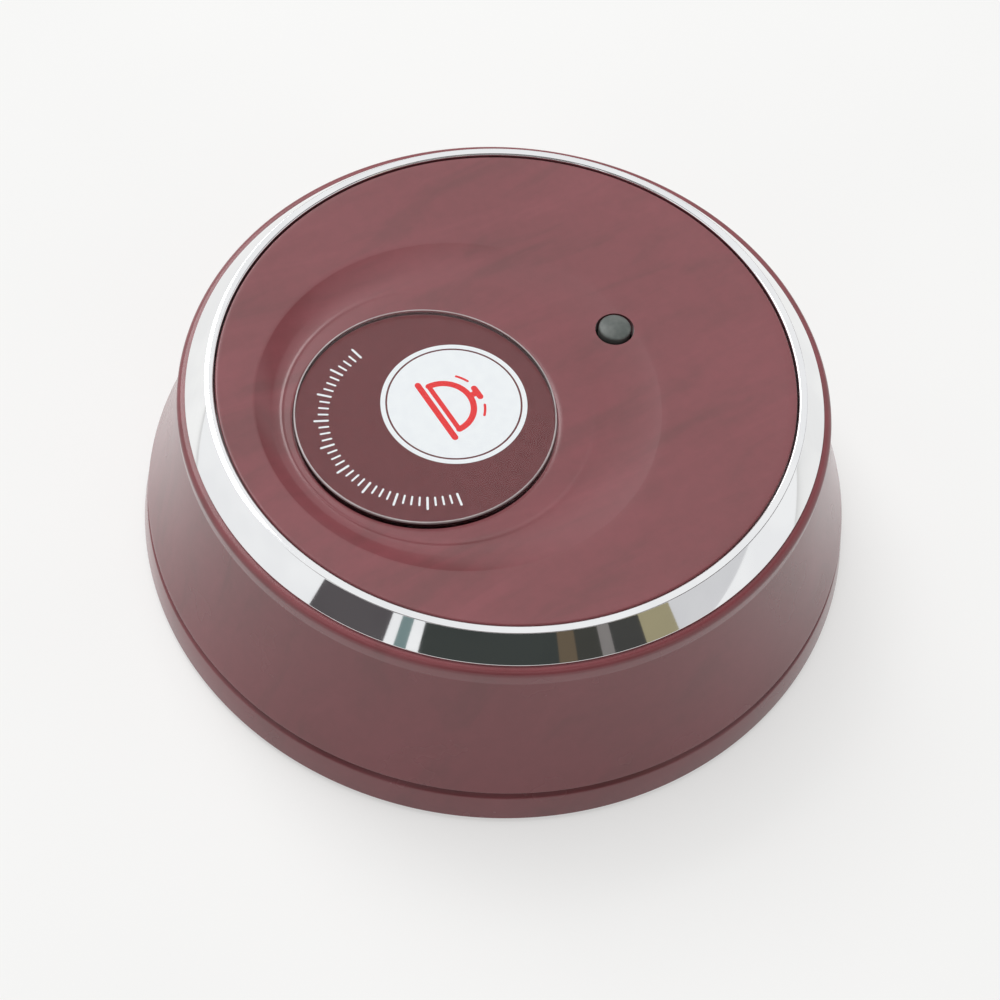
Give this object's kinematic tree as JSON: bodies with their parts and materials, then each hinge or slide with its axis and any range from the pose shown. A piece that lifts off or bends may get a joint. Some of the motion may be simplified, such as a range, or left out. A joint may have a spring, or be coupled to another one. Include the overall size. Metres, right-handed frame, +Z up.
{
  "type": "waiter call button",
  "caption": "Round table-top call button with a sprung call key in an off-centre dish, a chromed bezel, a signal lamp and a twist-off base.",
  "frame": {"origin": "on the table, under the middle of the round housing", "axes": "+Z up, +Y from the call key towards the signal lamp, so the user sits at -Y"},
  "size_m": [0.065, 0.065, 0.0203],
  "materials": {
    "burgundy_plastic": "satin",
    "burgundy_panel": "satin with faint streaks",
    "key_plastic": "satin",
    "label_print": "printed",
    "clear_acrylic": "polished",
    "lamp_lens": "smoked clear",
    "chrome": "polished plating",
    "tinned_metal": "tinned",
    "spring_brass": "bright",
    "board": "solder resist",
    "black_plastic": "fine matt",
    "plunger_plastic": "matt",
    "cell_sleeve": "shrink sleeve",
    "chip_ceramic": "matt",
    "copper_wire": "enamelled copper",
    "rubber": "matt"
  },
  "bodies": {
    "housing": {"housing_skirt": "burgundy_plastic", "chrome_ring": "chrome", "top_panel": "burgundy_panel", "led_body": "lamp_lens", "led_leads": "tinned_metal", "circuit_board": "board", "switch_body": "black_plastic", "switch_frame": "tinned_metal", "switch_legs": "tinned_metal", "snap_dome": "spring_brass", "battery_cell": "cell_sleeve", "battery_holder": "black_plastic", "contact_positive": "tinned_metal", "contact_negative": "tinned_metal", "encoder_chip": "black_plastic", "chip_legs": "tinned_metal", "crystal_can": "tinned_metal", "rf_transistor": "black_plastic", "chip_parts": "chip_ceramic", "antenna_wire": "copper_wire", "board_screws": "tinned_metal"},
    "key": {"key_cup": "key_plastic", "key_label": "label_print", "key_window": "clear_acrylic"},
    "plunger": {"switch_plunger": "plunger_plastic"},
    "base": {"base_cover": "burgundy_plastic", "rubber_feet": "rubber"}
  },
  "joints": [
    {"name": "key_press", "type": "slide", "parent": "housing", "child": "key", "axis": [0, 0, 1], "range_m": [-0.00035, 0], "stiffness_N_per_m": 4500, "springref_m": 0.00004},
    {"name": "switch_stroke", "type": "slide", "parent": "housing", "child": "plunger", "axis": [0, 0, 1], "range_m": [-0.00035, 0], "deforming": ["snap_dome"]},
    {"name": "base_twist", "type": "hinge", "parent": "housing", "child": "base", "pos_m": [0, 0, 0], "axis": [0, 0, 1], "range_deg": [-22, 0]}
  ],
  "couplings": [
    {"joint": "switch_stroke", "follows": "key_press", "ratio": 1}
  ]
}
